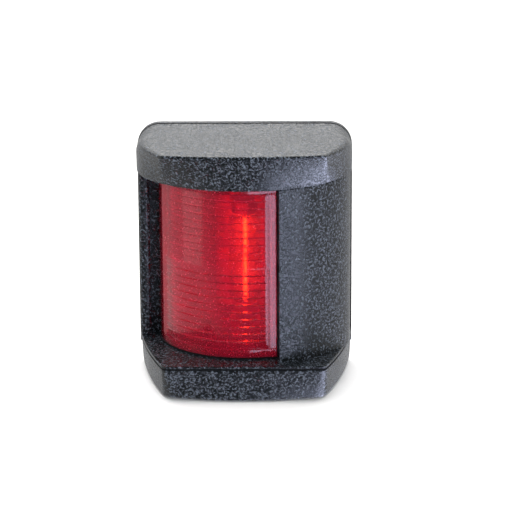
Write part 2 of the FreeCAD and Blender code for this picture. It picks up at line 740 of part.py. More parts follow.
def cap_screw(x, depth):
    """A small screw that goes up through a shield boss into the cap."""
    shank = rod(x, depth, "cap_screw_seat_z", "cap_screw_r", "cap_screw_top_z - cap_screw_seat_z")
    head = rod(x, depth, "cap_screw_low_z", "cap_screw_head_r", "cap_screw_seat_z - cap_screw_low_z")
    return fused(shank, head)


def threaded_insert():
    """The brass insert in the hood's tab that the cover screw enters."""
    place = ("0", "screw_depth", "insert_low_z")
    sleeve = rod(*place, "insert_r", "insert_top_z - insert_low_z")
    keep(cut(sleeve, rod(*place, "insert_bore_r", "insert_top_z - insert_low_z")), "threaded_insert")


# ---------------------------------------------------------------- bulb

def bulb_glass():
    """The festoon bulb's tube, open at the necks that the metal caps hold."""
    outer = [("glass_neck_r", "glass_end"), ("glass_neck_r", "cap_start"), ("glass_r", "glass_half - 1")]
    inner = [(f"{r} - glass_t", z) for r, z in outer]
    lower_outer = [(r, f"-({z})") for r, z in reversed(outer)]
    lower_inner = [(r, f"-({z})") for r, z in inner]
    turned("bulb_glass", outer + lower_outer + lower_inner + inner[::-1], "bulb_depth")


def bulb_cap(label, side):
    """One metal end cap with its conical tip."""
    points = [
        ("0", "cone_end"),
        ("cone_tip_r", "cone_end"),
        ("ferrule_r", "cone_start"),
        ("ferrule_r", "cap_start"),
        ("glass_neck_r", "cap_start"),
        ("glass_neck_r", "glass_end + 0.6"),
        ("0", "glass_end + 0.6"),
    ]
    turned(label, [(r, f"{side}({z})") for r, z in points], "bulb_depth")


def filament():
    """The straight wound filament on the bulb's axis."""
    coil = rod("0", "bulb_depth", "-filament_half", "filament_r", "2 * filament_half")
    keep(coil, "filament")


def filament_lead(side):
    """The wire between a metal cap and the filament's end."""
    low = "filament_half" if not side else "-glass_end - 0.6"
    return rod("0", "bulb_depth", low, "lead_r", "glass_end + 0.6 - filament_half")


def filament_support():
    """The small hook that steadies the filament in the middle."""
    ring = rod("0", "bulb_depth", "-0.3", "filament_r + 0.3", "0.6")
    hole = rod("0", "bulb_depth", "-0.3", "filament_r", "0.6")
    arm = block("-0.2", "0.2", "bulb_depth - glass_r + glass_t", "bulb_depth - filament_r - 0.1",
                "-0.2", "0.2")
    keep(cut(fused(ring, arm), hole), "filament_support")


# ---------------------------------------------------------------- cover screw

def cover_screw():
    """The slotted screw that holds the hood down, from under the tray."""
    head_tall = "screw_head_z - screw_low_z"
    head = rod("0", "screw_depth", "screw_low_z", "screw_head_r", head_tall)
    shank = rod("0", "screw_depth", "screw_head_z", "screw_r", "screw_top_z - screw_head_z")
    slot = block("-screw_head_r", "screw_head_r", "screw_depth - slot_width / 2",
                 "screw_depth + slot_width / 2", "screw_low_z - 1", "screw_low_z + slot_deep")
    keep(cut(fused(head, shank), slot), "cover_screw")


def ring_piece(label, low, thick, radius, bore):
    """A flat ring round the cover screw."""
    place = ("0", "screw_depth", low)
    keep(cut(rod(*place, radius, thick), rod(*place, bore, thick)), label)


# ---------------------------------------------------------------- the whole light

base_housing()
wall_gasket()
hood_seal()
heat_shield()
group("heat_shield_rivets", [rivet(f"{side}heat_rivet_x", "0", "heat_t") for side in ("", "-")])
contact("upper_contact", "")
contact("lower_contact", "-")
group("contact_rivets", [rivet("0", f"{side}rivet_z", "leaf_t") for side in ("", "-")])
group("terminal_screws", [terminal_screw(side) for side in ("", "-")])
group("terminal_washers", [terminal_washer(side) for side in ("", "-")])
cable_grommet()
shield()
top_cap()
lens()
lens_seal("lens_seal_lower", "flange_z")
lens_seal("lens_seal_upper", "cap_z - lens_seal_t")
lens_lock_strip()
group("cap_screws", [cap_screw(x, depth) for x, depth in CAP_SCREWS])
threaded_insert()
bulb_glass()
bulb_cap("bulb_upper_cap", "")
bulb_cap("bulb_lower_cap", "-")
filament()
group("filament_leads", [filament_lead(side) for side in ("", "-")])
filament_support()
cover_screw()
ring_piece("cover_screw_washer", "screw_head_z", "0.5", "screw_head_r", "screw_r + 0.05")
ring_piece("cover_screw_o_ring", "screw_head_z + 0.5", "sink_z - screw_head_z - 0.55",
           "screw_head_r - 0.4", "screw_r + 0.05")
doc.recompute()

for obj in doc.Objects:
    if "Invalid" in obj.State or "Error" in obj.State:
        raise RuntimeError(f"{obj.Label} failed: {obj.State}")
os.makedirs("parts", exist_ok=True)
for piece in PIECES:
    shape = piece.Shape
    if shape.isNull() or not shape.isValid() or not shape.Solids:
        raise RuntimeError(f"{piece.Label} has no valid solid")
    shape.exportStep(f"parts/{piece.Label}.step")
    print(f"{piece.Label}: {len(shape.Solids)} solid(s), {shape.Volume:.1f} mm3")
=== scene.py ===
"""Looks of a small boat's side light, laid out as an add-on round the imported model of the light.

The frame is in metres: +X to the right seen from outside, -Y away from the wall and +Z up. A depth
is a distance in front of the wall, so it becomes -Y. The cap, the shield, the base, the lens with
its ribs and the wound filament are modelled here; every other part keeps its own shape and is given
its finish here.
"""

import math
from collections import namedtuple

import bmesh
import bpy
from bpy.props import FloatProperty, FloatVectorProperty, IntProperty, PointerProperty
from mathutils import Matrix, Vector


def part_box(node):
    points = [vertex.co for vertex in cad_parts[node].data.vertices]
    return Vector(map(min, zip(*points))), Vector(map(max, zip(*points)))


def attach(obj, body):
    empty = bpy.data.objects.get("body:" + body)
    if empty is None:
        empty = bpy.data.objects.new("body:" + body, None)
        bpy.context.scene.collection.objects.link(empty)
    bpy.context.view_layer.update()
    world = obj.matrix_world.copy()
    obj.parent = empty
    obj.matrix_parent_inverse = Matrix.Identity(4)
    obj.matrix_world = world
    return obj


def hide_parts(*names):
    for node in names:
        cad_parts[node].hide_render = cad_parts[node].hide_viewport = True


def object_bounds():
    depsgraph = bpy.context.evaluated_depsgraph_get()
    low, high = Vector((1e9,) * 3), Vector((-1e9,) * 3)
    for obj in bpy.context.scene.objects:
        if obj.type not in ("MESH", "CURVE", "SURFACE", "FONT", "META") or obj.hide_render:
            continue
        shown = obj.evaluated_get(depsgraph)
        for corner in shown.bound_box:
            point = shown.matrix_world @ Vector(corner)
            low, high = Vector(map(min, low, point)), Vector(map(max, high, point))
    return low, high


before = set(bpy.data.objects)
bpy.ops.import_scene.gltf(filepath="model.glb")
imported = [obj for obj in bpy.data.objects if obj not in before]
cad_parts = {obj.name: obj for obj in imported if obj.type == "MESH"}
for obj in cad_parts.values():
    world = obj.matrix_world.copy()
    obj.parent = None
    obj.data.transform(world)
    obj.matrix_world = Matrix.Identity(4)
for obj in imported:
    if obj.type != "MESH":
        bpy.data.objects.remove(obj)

bl_info = {
    "name": "Boat side light",
    "version": (1, 0, 0),
    "blender": (4, 5, 0),
    "location": "View3D > Sidebar > Side light",
    "description": "Builds the grained hood, ribbed lens and studio of a small boat's side light",
    "category": "Add Mesh",
}

MM = 0.001
CAD_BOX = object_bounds()
BASE_LOW, BASE_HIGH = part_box("base_housing")
CAP_LOW, CAP_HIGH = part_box("top_cap")
LENS_LOW, LENS_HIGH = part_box("lens")
SEAL_LOW, SEAL_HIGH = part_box("hood_seal")
FLANGE_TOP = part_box("lens_seal_lower")[0].z
FILAMENT_LOW, FILAMENT_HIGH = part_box("filament")
INSERT_LOW, INSERT_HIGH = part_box("threaded_insert")
CAP_SCREWS_LOW, CAP_SCREWS_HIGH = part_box("cap_screws")
SCREW = sum(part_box("cover_screw"), Vector()) / 2
GROMMET = sum(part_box("cable_grommet"), Vector()) / 2


def length(name, description, default):
    """A length property; the default is in metres."""
    return FloatProperty(name=name, description=description, default=default, min=0.0,
                         unit="LENGTH", precision=5)


def colour(name, description, default):
    """A colour property."""
    return FloatVectorProperty(name=name, description=description, default=default, size=3,
                               subtype="COLOR", min=0.0, max=1.0)


def share(name, description, default, high=1.0):
    """A plain number property."""
    return FloatProperty(name=name, description=description, default=default, min=0.0, max=high)


def degrees(name, description, default):
    """An angle property; the default is in degrees."""
    return FloatProperty(name=name, description=description, default=math.radians(default),
                         subtype="ANGLE")


def clamped(value):
    """A value held between 0 and 1."""
    return min(max(value, 0.0), 1.0)


# ---------------------------------------------------------------- settings

class HoodSizes(bpy.types.PropertyGroup):
    """Sizes of the shield and the cap."""

    half: length("Shield half width", "Half width of the shield's straight sides", 31.8 * MM)
    side_depth: length("Side depth", "Depth where the straight sides end", 12.0 * MM)
    side_radius: length("Side radius", "Radius of the shield's side arcs", 23.6 * MM)
    front_radius: length("Front radius", "Radius of the shield's broad front", 34.5 * MM)
    front_centre: length("Front centre", "Depth of the centre of the broad front", 5.0 * MM)
    turn_x: length("Turn", "Where the broad front meets the side arcs", 23.9 * MM)
    wall: length("Wall", "Thickness of the shield's wall", 2.4 * MM)
    jamb_x: length("Window edge", "Right edge of the window", LENS_HIGH.x)
    jamb_back: length("Window edge depth", "Rear of the wall beside the window", 28.6 * MM)
    post: length("Post", "Thickness of the left post", 3.1 * MM)
    post_front: length("Post front", "Depth of the left post's front edge", 11.0 * MM)
    web_front: length("Web front", "Depth of the front of the wall beside the lens", -LENS_HIGH.y)
    web: length("Web", "Thickness of the wall beside the lens", 2.0 * MM)
    flange: length("Flange", "Thickness of the flange on the tray", 0.7 * MM)
    bore: length("Flange bore", "Radius of the opening through the flange", 22.4 * MM)
    wall_edge: length("Wall edge", "Rounding of the shield's edges", 0.4 * MM)
    post_edge: length("Post edge", "Rounding of the left post's edges", 0.9 * MM)
    flange_edge: length("Flange edge", "Rounding of the flange's edges", 0.22 * MM)
    overhang: length("Cap overhang", "How far the cap stands proud of the shield", 0.4 * MM)
    cap_corner: length("Cap corner", "Reach of the lower corners' rounding", 1.2 * MM)
    cap_corner_radius: length("Cap corner radius", "Radius of the cap's lower corners", 30.0 * MM)
    cap_side_depth: length("Cap side depth", "Depth where the cap's straight sides end", 13.0 * MM)
    cap_side_radius: length("Cap side radius", "Radius of the cap's side edges", 65.0 * MM)
    cap_front_radius: length("Cap front radius", "Radius of the cap's front edge", 150.0 * MM)
    shoulder: length("Shoulder", "Rounding of the cap's edge beside the back plate", 7.0 * MM)
    edge: length("Edge", "Rounding of the cap's front edge", 1.3 * MM)
    lip: length("Lip", "Rounding of the cap's lower edge", 0.35 * MM)
    hollow: length("Cap hollow", "Radius of the hollow under the cap", 20.5 * MM)
    hollow_deep: length("Cap hollow height", "Height of the hollow under the cap", 8.5 * MM)
    cap_slope: degrees("Cap slope", "How far the cap's top falls to the front", 1.2)
    boss: length("Boss", "Radius of the cover screw's boss", 4.4 * MM)
    boss_edge: length("Boss edge", "Rounding of the bosses' and the tab's edges", 0.3 * MM)
    cap_boss: length("Cap boss", "Radius of the cap screws' bosses", 2.2 * MM)
    cap_screw_head: length("Cap screw head", "Height of the cap screws' heads", 1.4 * MM)
    cap_screw_radius: length("Cap screw radius", "Radius of the cap screws' heads", 1.6 * MM)


class BaseSizes(bpy.types.PropertyGroup):
    """Sizes of the tray and the back plate."""

    corner_x: length("Corner", "Half width between the front corners", 24.2 * MM)
    corner_cut: length("Corner cut", "How far the corner rounding reaches", 1.6 * MM)
    corner_radius: length("Corner radius", "Radius of the front corners", 2.0 * MM)
    side_radius: length("Side radius", "Radius of the long side facets", 147.0 * MM)
    front_radius: length("Front radius", "Radius of the rim's front edge", 900.0 * MM)
    foot_half: length("Foot half width", "Half width of the underside at the wall", 31.8 * MM)
    foot_x: length("Foot corner", "Half width between the underside's corners", 23.8 * MM)
    foot_depth: length("Foot depth", "Depth of the underside's corners", 38.4 * MM)
    foot_cut: length("Foot cut", "How far the underside's corner rounding reaches", 3.6 * MM)
    foot_corner: length("Foot corner radius", "Radius of the underside's corners", 5.0 * MM)
    foot_front: length("Foot front radius", "Radius of the underside's front edge", 82.0 * MM)
    edge: length("Edge", "Rounding of the bottom edge", 1.3 * MM)
    lip: length("Lip", "Rounding of the rim", 0.3 * MM)
    plate_edge: length("Plate edge", "Rounding of the back plate's edges", 0.35 * MM)
    wall: length("Wall", "Thickness of the tray's wall", 3.0 * MM)
    floor: length("Floor", "Thickness of the tray's floor", 2.6 * MM)
    plate_front: length("Plate front", "Depth of the back plate's front", -SEAL_HIGH.y)
    plate_corner: length("Plate corner", "Radius of the back plate's upper corners", 7.0 * MM)
    film: length("Film", "Film across each wall screw's hole, pierced in fitting", 0.4 * MM)
    mount_x: length("Mounting hole", "Mounting holes from the centre line", 18.5 * MM)
    mount_radius: length("Mounting hole radius", "Radius of the mounting holes", 2.1 * MM)
    cable_radius: length("Cable hole radius", "Radius of the cable entry", 4.5 * MM)
    sink_radius: length("Sink radius", "Radius of the cover screw's counterbore", 3.6 * MM)
    sink_deep: length("Sink depth", "Depth of the counterbore", 3.0 * MM)
    screw_hole: length("Screw hole", "Radius of the cover screw's hole", 1.7 * MM)
    boss_high: length("Boss height", "Height of the boss above the underside", 8.0 * MM)


class LensSizes(bpy.types.PropertyGroup):
    """Sizes of the lens and its ribs."""

    axis: length("Axis", "Depth of the lens's axis", 9.3 * MM)
    radius: length("Radius", "Outer radius of the ribbed field", 25.6 * MM)
    band: length("Band", "How far the end bands stand proud", 0.3 * MM)
    band_slope: length("Band slope", "Height of the slope beside an end band", 0.25 * MM)
    wall: length("Wall", "Thickness of the lens", 2.2 * MM)
    foot: length("Lower band", "Height of the lower band", 2.5 * MM)
    head: length("Upper band", "Height of the upper band", 1.6 * MM)
    pitch: length("Rib pitch", "Height of one rib", 2.2 * MM)
    rib: length("Rib", "Depth of the ribs", 0.3 * MM)
    gap: length("Gap", "Gap between the lens and the window edge", 0.9 * MM)
    strip: length("Strip", "Width of the plain strip beside the window edge", 2.2 * MM)
    blend: length("Blend", "Width over which the ribs run out", 0.6 * MM)
    strip_turn: degrees("Strip turn", "Way the plain strip faces, to the right", 7)


class FilamentSizes(bpy.types.PropertyGroup):
    """Sizes of the wound filament."""

    wire: length("Wire", "Radius of the wire", 0.09 * MM)
    turns: IntProperty(name="Turns", description="Number of turns", default=44, min=4)


class FinishSettings(bpy.types.PropertyGroup):
    """Colours and strengths of the finishes."""

    plastic: colour("Plastic", "The black moulding", (0.003, 0.0045, 0.0055))
    # Lighter, bluish colour of the grain's peaks: partly wear, partly painted glints of the cool
    # window light.
    plastic_wear_and_glint: colour("Plastic peaks", "The tops of the grain", (0.085, 0.102, 0.13))
    rubber: colour("Rubber", "The seals", (0.006, 0.006, 0.007))
    foam: colour("Foam", "The wall gasket", (0.03, 0.03, 0.033))
    red: colour("Lens red", "The lens's tint", (1.0, 0.026, 0.085))
    brass: colour("Brass", "The contacts", (0.76, 0.56, 0.24))
    nickel: colour("Nickel", "The bulb's caps", (0.66, 0.64, 0.6))
    steel: colour("Steel", "The screws", (0.62, 0.63, 0.65))
    aluminium: colour("Aluminium", "The plate behind the bulb", (0.86, 0.87, 0.89))
    # Painted shade and painted bulb light on the plate behind the bulb: darkened left of the first
    # place, full tone right of the second.
    painted_shade_to: FloatProperty(name="Dull to", description="Where the plate behind the bulb is dull",
                           default=-10.5 * MM, unit="LENGTH")
    painted_bulb_light_from: FloatProperty(name="Bright from",
                               description="Where the plate behind the bulb is bright",
                               default=-4.0 * MM, unit="LENGTH")
    glow: colour("Glow", "The filament's light", (1.0, 0.75, 0.03))
    glow_strength: share("Glow strength", "How bright the filament is", 42.0, high=1000.0)
    grain: share("Grain", "Strength of the mould grain", 1.0)
    grain_size: length("Grain size", "Spacing of the mould grain", 0.68 * MM)
    grain_depth: length("Grain depth", "Height of the mould grain", 0.15 * MM)


class StageSettings(bpy.types.PropertyGroup):
    """The camera, the lights and the floor."""

    azimuth: degrees("Azimuth", "Camera angle right of straight on", 0.96)
    elevation: degrees("Elevation", "Camera angle above level", 16.2)
    roll: degrees("Roll", "Camera roll", -0.36)
    distance: length("Distance", "Camera distance", 0.8)
    focal: FloatProperty(name="Focal length", description="Lens for a 36 mm wide picture, in mm",
                         default=188.5, min=1.0)
    centre_depth: length("Centre depth", "Depth of the point that the camera faces", 18.0 * MM)
    centre_height: length("Centre height", "Height of the point that the camera faces", 2.0 * MM)
    aim_x: length("Aim right", "How far right of the middle the camera aims", 3.1 * MM)
    aim_z: length("Aim up", "How far above the middle the camera aims", 0.65 * MM)
    floor_size: length("Floor", "Half width of the floor", 4.0)
    floor: colour("Floor colour", "The floor", (0.86, 0.86, 0.86))
    front_sky: share("Front sky", "Brightness of the surroundings in front", 0.05)
    side_sky: share("Side sky", "Brightness of the surroundings at the sides", 0.6)
    rear_sky: share("Rear sky", "Brightness added above the back", 1.45, high=10.0)
    overhead: share("Overhead", "Share of the brightness that is left overhead", 0.15)
    window: share("Window", "Brightness of the window on the right", 5.4, high=100.0)
    low_window: share("Low window", "Brightness of the window's lower pane", 7.0, high=100.0)
    window_tone: colour("Window colour", "The window's light", (0.66, 0.72, 1.0))


class SideLightSettings(bpy.types.PropertyGroup):
    """Everything a user would change."""

    hood: PointerProperty(type=HoodSizes)
    base: PointerProperty(type=BaseSizes)
    lens: PointerProperty(type=LensSizes)
    filament: PointerProperty(type=FilamentSizes)
    finish: PointerProperty(type=FinishSettings)
    stage: PointerProperty(type=StageSettings)


def settings():
    """The settings of the scene in use."""
    return bpy.context.scene.side_light


# ---------------------------------------------------------------- outlines in plan (across, depth)

# Steps along round walls, small corners, broad fronts, the cap's edge, the base's foot, lips,
# sloping walls and the lens.
ARC_STEPS = 10
CORNER_STEPS = 5
FRONT_STEPS = 36
EDGE_STEPS = 8
FOOT_STEPS = 6
LIP_STEPS = 4
WALL_STEPS = 4
LENS_STEPS = 72
# Where the lens's plain border begins, in degrees left of straight ahead, and the width of its
# start.
BORDER_FROM, BORDER_OVER = 66, 5
# Where a rib's slope starts and ends, as shares of its height.
RIB_START, RIB_END = 0.02, 0.9


def run(start, end, radius, steps):
    """Points from start up to, but without, end: straight, or an arc that bulges to the right."""
    start, end = Vector(start), Vector(end)
    if not radius:
        return [start.lerp(end, n / steps) for n in range(steps)]
    half = (end - start) / 2
    left = Vector((-half.y, half.x)).normalized()
    centre = start + half + left * math.sqrt(radius * radius - half.length_squared)
    first = math.atan2(*(start - centre).yx)
    turn = 2 * math.asin(half.length / radius)
    spots = (first + turn * n / steps for n in range(steps))
    return [centre + radius * Vector((math.cos(a), math.sin(a))) for a in spots]


def outline(start, *runs):
    """An open outline from start through runs of (end, radius, steps), with its last point."""
    points = []
    here = start
    for end, radius, steps in runs:
        points += run(here, end, radius, steps)
        here = end
    return points + [Vector(here)]


def tray_outline(side, back, across, front, cut, corner_radius, front_radius):
    """The tray's outline: long side facets, rounded corners and a front edge."""
    past, behind = 0.2, 0.98
    outer = (across + past * cut, front - behind * cut)
    inner = (across - cut, front)
    return outline(
        (side, back),
        (outer, settings().base.side_radius, ARC_STEPS),
        (inner, corner_radius, CORNER_STEPS),
        ((-inner[0], inner[1]), front_radius, FRONT_STEPS),
        ((-outer[0], outer[1]), corner_radius, CORNER_STEPS),
        ((-side, back), settings().base.side_radius, ARC_STEPS),
    )


def foot_outline():
    """The outline of the base's underside."""
    base = settings().base
    return tray_outline(base.foot_half, -BASE_HIGH.y, base.foot_x, base.foot_depth,
                        base.foot_cut, base.foot_corner, base.foot_front)


def rim_outline(inset=0.0, back=-CAP_HIGH.y):
    """The outline that the tray's rim and the hood's flange share."""
    base = settings().base
    return tray_outline(BASE_HIGH.x - inset, back, base.corner_x - inset, -BASE_LOW.y - inset,
                        base.corner_cut, base.corner_radius, base.front_radius)


def front_depth(x, inset=0.0):
    """The depth of the shield's broad front at a place across."""
    hood = settings().hood
    return hood.front_centre + math.sqrt((hood.front_radius - inset) ** 2 - x * x)


def side_depth(x, inset=0.0):
    """The depth of the shield's side arcs at a place across."""
    hood = settings().hood
    centre = hood.half - hood.side_radius
    return hood.side_depth + math.sqrt((hood.side_radius - inset) ** 2 - (x - centre) ** 2)


def side_wall(inset, to_x):
    """The shield's right side in plan, from its rear edge forward to a place across."""
    hood = settings().hood
    half = hood.half - inset
    turn = hood.turn_x * (1 - inset / hood.front_radius)
    return outline(
        (half, -CAP_HIGH.y),
        ((half, hood.side_depth), 0, 2),
        ((turn, front_depth(turn, inset)), hood.side_radius - inset, ARC_STEPS),
        ((to_x, front_depth(to_x, inset)), hood.front_radius - inset, ARC_STEPS),
    )


def cap_outline(half, straight_to, outer, inner, radii):
    """The cap's outline at one height; outer and inner are the ends of its right front corner."""
    side, corner, front = radii
    return outline(
        (half, -CAP_HIGH.y),
        ((half, straight_to), 0, 4),
        (outer, side, ARC_STEPS),
        (inner, corner, CORNER_STEPS),
        ((-inner[0], inner[1]), front, FRONT_STEPS),
        ((-outer[0], outer[1]), corner, CORNER_STEPS),
        ((-half, straight_to), side, ARC_STEPS),
        ((-half, -CAP_HIGH.y), 0, 4),
    )


def chamber_outline(radius, axis, back):
    """A half round about the lens's axis with straight sides to the back."""
    steps = 2 * ARC_STEPS
    return outline(
        (radius, back),
        ((radius, axis), 0, 2),
        ((0, axis + radius), radius, steps),
        ((-radius, axis), radius, steps),
        ((-radius, back), 0, 2),
    )


def even(points, count):
    """The same outline with a given number of evenly spaced points."""
    reach = [0.0]
    for a, b in zip(points, points[1:]):
        reach.append(reach[-1] + (b - a).length)
    placed = []
    at = 0
    for n in range(count):
        wanted = reach[-1] * n / (count - 1)
        while at < len(points) - 2 and reach[at + 1] < wanted:
            at += 1
        part = (wanted - reach[at]) / (reach[at + 1] - reach[at])
        placed.append(points[at].lerp(points[at + 1], clamped(part)))
    return placed


def level(points, z):
    """A plan outline as a ring of places at one height."""
    return [Vector((p.x, -p.y, z)) for p in points]


def rounded(before, tip, after, steps):
    """Places along a round that replaces the corner at tip, from before to after."""
    weight = math.sqrt(0.5)
    places = []
    for n in range(1, steps):
        t = n / steps
        a, b, c = (1 - t) ** 2, 2 * weight * t * (1 - t), t * t
        places.append((before * a + tip * b + after * c) / (a + b + c))
    return places


def between(first, last):
    """The rings on the way from one ring to another, and the last ring itself."""
    shares = [n / WALL_STEPS for n in range(1, WALL_STEPS + 1)]
    return [[a.lerp(b, part) for a, b in zip(first, last)] for part in shares]


def inward(points):
    """The level unit directions across an open plan outline, towards its inside."""
    found = []
    for n in range(len(points)):
        a = points[max(n - 1, 0)]
        b = points[min(n + 1, len(points) - 1)]
        way = (b - a).normalized()
        found.append(Vector((-way.y, -way.x, 0)))
    found[0] = Vector((-1, 0, 0))
    found[-1] = Vector((1, 0, 0))
    return found


# ---------------------------------------------------------------- meshes

SHARP = math.radians(32)


def new_object(name, mesh_maker):
    """An object whose mesh is a bmesh made elsewhere."""
    mesh = bpy.data.meshes.new(name)
    bmesh.ops.recalc_face_normals(mesh_maker, faces=mesh_maker.faces)
    mesh_maker.to_mesh(mesh)
    mesh_maker.free()
    made = bpy.data.objects.new(name, mesh)
    bpy.context.scene.collection.objects.link(made)
    return made


def skin(rings):
    """A bmesh with faces between rings of equal length, and over the first and last ring."""
    maker = bmesh.new()
    rows = [[maker.verts.new(place) for place in ring] for ring in rings]
    count = len(rows[0])
    for low, high in zip(rows, rows[1:]):
        for n in range(count):
            after = (n + 1) % count
            maker.faces.new((low[n], low[after], high[after], high[n]))
    maker.faces.new(rows[0][::-1])
    maker.faces.new(rows[-1])
    return maker


def soften(maker, width, segments=3):
    """Rounds every sharp edge of a bmesh."""
    bmesh.ops.recalc_face_normals(maker, faces=maker.faces)
    sharp = [e for e in maker.edges if e.is_manifold and e.calc_face_angle() > SHARP]
    bmesh.ops.bevel(maker, geom=sharp, offset=width, segments=segments, profile=0.5,
                    affect="EDGES", clamp_overlap=True)


def prism(name, points, low, high, edge=0.0):
    """An upright prism on a plan outline, with softened edges where edge is given."""
    maker = skin([level(points, low), level(points, high)])
    if edge:
        soften(maker, edge)
    return new_object(name, maker)


def plate(name, points, back, front, edge=0.0):
    """A plate parallel to the wall; points are pairs of across and height."""
    rings = [[Vector((p.x, -depth, p.y)) for p in points] for depth in (back, front)]
    maker = skin(rings)
    if edge:
        soften(maker, edge)
    return new_object(name, maker)


def oblong(start, end, back, front):
    """The outline of an oblong from one place across to another, and from back to front."""
    return outline((start, back), ((start, front), 0, 1), ((end, front), 0, 1), ((end, back), 0, 1))


def disc(x, y, radius, steps=40):
    """A closed round outline."""
    turns = (2 * math.pi * n / steps for n in range(steps))
    return [Vector((x + radius * math.cos(a), y + radius * math.sin(a))) for a in turns]


def settle(made):
    """Makes the result of the object's modifiers its own mesh."""
    graph = bpy.context.evaluated_depsgraph_get()
    result = bpy.data.meshes.new_from_object(made.evaluated_get(graph))
    made.modifiers.clear()
    old, made.data = made.data, result
    bpy.data.meshes.remove(old)


def combine(made, tools, operation):
    """Joins tools on to an object, or cuts them out of it; the tools are used up."""
    for tool in tools:
        step = made.modifiers.new(operation.lower(), "BOOLEAN")
        step.solver = "EXACT"
        step.operation = operation
        step.object = tool
        settle(made)
        bpy.data.objects.remove(tool)


def complete(made, body, finish, nodes):
    """Shades a piece, gives it its finish, and sets it on its body in place of CAD nodes."""
    made.data.materials.clear()
    made.data.materials.append(finish)
    made.data.shade_smooth()
    made.data.set_sharp_from_angle(angle=SHARP)
    even_out = made.modifiers.new("even_normals", "WEIGHTED_NORMAL")
    even_out.keep_sharp = True
    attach(made, body)
    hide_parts(*nodes)


# ---------------------------------------------------------------- finishes

class NodeWork:
    """Short ways to add and join the nodes of one tree."""

    def __init__(self, tree):
        self.tree = tree

    def node(self, kind, **values):
        """A node with its settings and plain socket values."""
        made = self.tree.nodes.new("ShaderNode" + kind)
        for key, value in values.items():
            if hasattr(made, key):
                setattr(made, key, value)
            else:
                made.inputs[key.replace("_", " ")].default_value = value
        return made

    def link(self, source, target):
        """Joins two sockets."""
        self.tree.links.new(source, target)

    def compute(self, operation, *inputs):
        """The result of a maths node whose inputs are sockets or numbers."""
        step = self.node("Math", operation=operation)
        for given, socket in zip(inputs, step.inputs):
            if isinstance(given, bpy.types.NodeSocket):
                self.link(given, socket)
            else:
                socket.default_value = given
        return step.outputs["Value"]

    def sum_of(self, *parts):
        """The weighted sum of factors, given as (socket, weight)."""
        result = 0.0
        for source, weight in parts:
            result = self.compute("MULTIPLY_ADD", source, weight, result)
        return result

    def spread(self, source, low, high, to_low, to_high, kind="LINEAR"):
        """A range of a factor drawn out to another range."""
        made = self.node("MapRange", interpolation_type=kind)
        for socket, value in (("From Min", low), ("From Max", high),
                              ("To Min", to_low), ("To Max", to_high)):
            made.inputs[socket].default_value = value
        self.link(source, made.inputs["Value"])
        return made.outputs["Result"]

    def fade(self, source, start, end, at_start=0.0, at_end=1.0):
        """A smooth change from one value to another while a factor goes from start to end."""
        return self.spread(source, start, end, at_start, at_end, kind="SMOOTHSTEP")


class Finish(NodeWork):
    """A procedural material under construction."""

    def __init__(self, name, **values):
        self.material = bpy.data.materials.new(name)
        self.material.use_nodes = True
        super().__init__(self.material.node_tree)
        self.shader = self.tree.nodes["Principled BSDF"]
        for socket, value in values.items():
            self.shader.inputs[socket.replace("_", " ")].default_value = value
        self.place = self.tree.nodes.new("ShaderNodeTexCoord").outputs["Object"]

    def noise(self, spacing, detail=3.0, roughness=0.55, distortion=0.0, stretch=(1, 1, 1)):
        """Noise with a given spacing in metres; returns its factor."""
        made = self.node("TexNoise", Scale=1.0, Detail=detail, Roughness=roughness,
                         Distortion=distortion)
        scaled = self.node("Mapping")
        scaled.inputs["Scale"].default_value = [s / spacing for s in stretch]
        self.link(self.place, scaled.inputs["Vector"])
        self.link(scaled.outputs["Vector"], made.inputs["Vector"])
        return made.outputs["Fac"]

    def tint(self, source, low, high, from_low=0.35, from_high=0.7):
        """The base colour runs from one colour to another with a factor."""
        ramp = self.node("ValToRGB")
        ends = ramp.color_ramp.elements
        ends[0].position, ends[1].position = from_low, from_high
        ends[0].color = (*low, 1)
        ends[1].color = (*high, 1)
        self.link(source, ramp.inputs["Fac"])
        self.link(ramp.outputs["Color"], self.shader.inputs["Base Color"])

    def darken(self, factor):
        """The base colour is multiplied by a factor."""
        base = self.shader.inputs["Base Color"]
        scaled = self.node("VectorMath", operation="SCALE")
        self.link(base.links[0].from_socket, scaled.inputs["Vector"])
        self.link(factor, scaled.inputs["Scale"])
        self.link(scaled.outputs["Vector"], base)

    def rough(self, source, low, high):
        """The roughness varies with a factor."""
        self.link(self.spread(source, 0.3, 0.7, low, high), self.shader.inputs["Roughness"])

    def bump(self, source, strength, distance):
        """The surface rises and falls with a factor."""
        made = self.node("Bump", Strength=strength, Distance=distance)
        self.link(source, made.inputs["Height"])
        self.link(made.outputs["Normal"], self.shader.inputs["Normal"])


def shade(colour_value, factor):
    """A colour made darker or lighter."""
    return tuple(min(1.0, channel * factor) for channel in colour_value)


def grained_plastic():
    """Black moulding with a coarse spark-eroded grain whose peaks are tinted lighter and bluish:
    partly wear, partly painted glints, so the grain shows specks under any light.
    """
    look = settings().finish
    made = Finish("grained_black_plastic", IOR=1.5)
    size = look.grain_size
    coarse = made.noise(size, detail=2.0, roughness=0.6, distortion=0.35)
    fine = made.noise(size * 0.35, detail=2.0)
    cloud = made.noise(size * 25, detail=2.0)
    height = made.sum_of((coarse, 0.8), (fine, 0.2))
    relief = made.fade(height, 0.45, 0.64)
    # The grain's peaks get the lighter, bluish colour: painted glints on top of some wear.
    made.tint(relief, look.plastic, look.plastic_wear_and_glint, 0.35, 1.0)
    made.rough(made.sum_of((cloud, 0.6), (fine, 0.4)), 0.14, 0.28)
    made.bump(relief, look.grain, look.grain_depth)
    return made.material


def smooth_plastic():
    """The same moulding where the mould was left smooth."""
    look = settings().finish
    made = Finish("smooth_black_plastic", IOR=1.5)
    fine = made.noise(0.5 * MM, detail=4.0)
    cloud = made.noise(9 * MM)
    made.tint(cloud, look.plastic, shade(look.plastic_wear_and_glint, 0.7))
    made.rough(made.sum_of((cloud, 0.6), (fine, 0.4)), 0.26, 0.42)
    made.bump(fine, 0.12, 0.05 * MM)
    return made.material


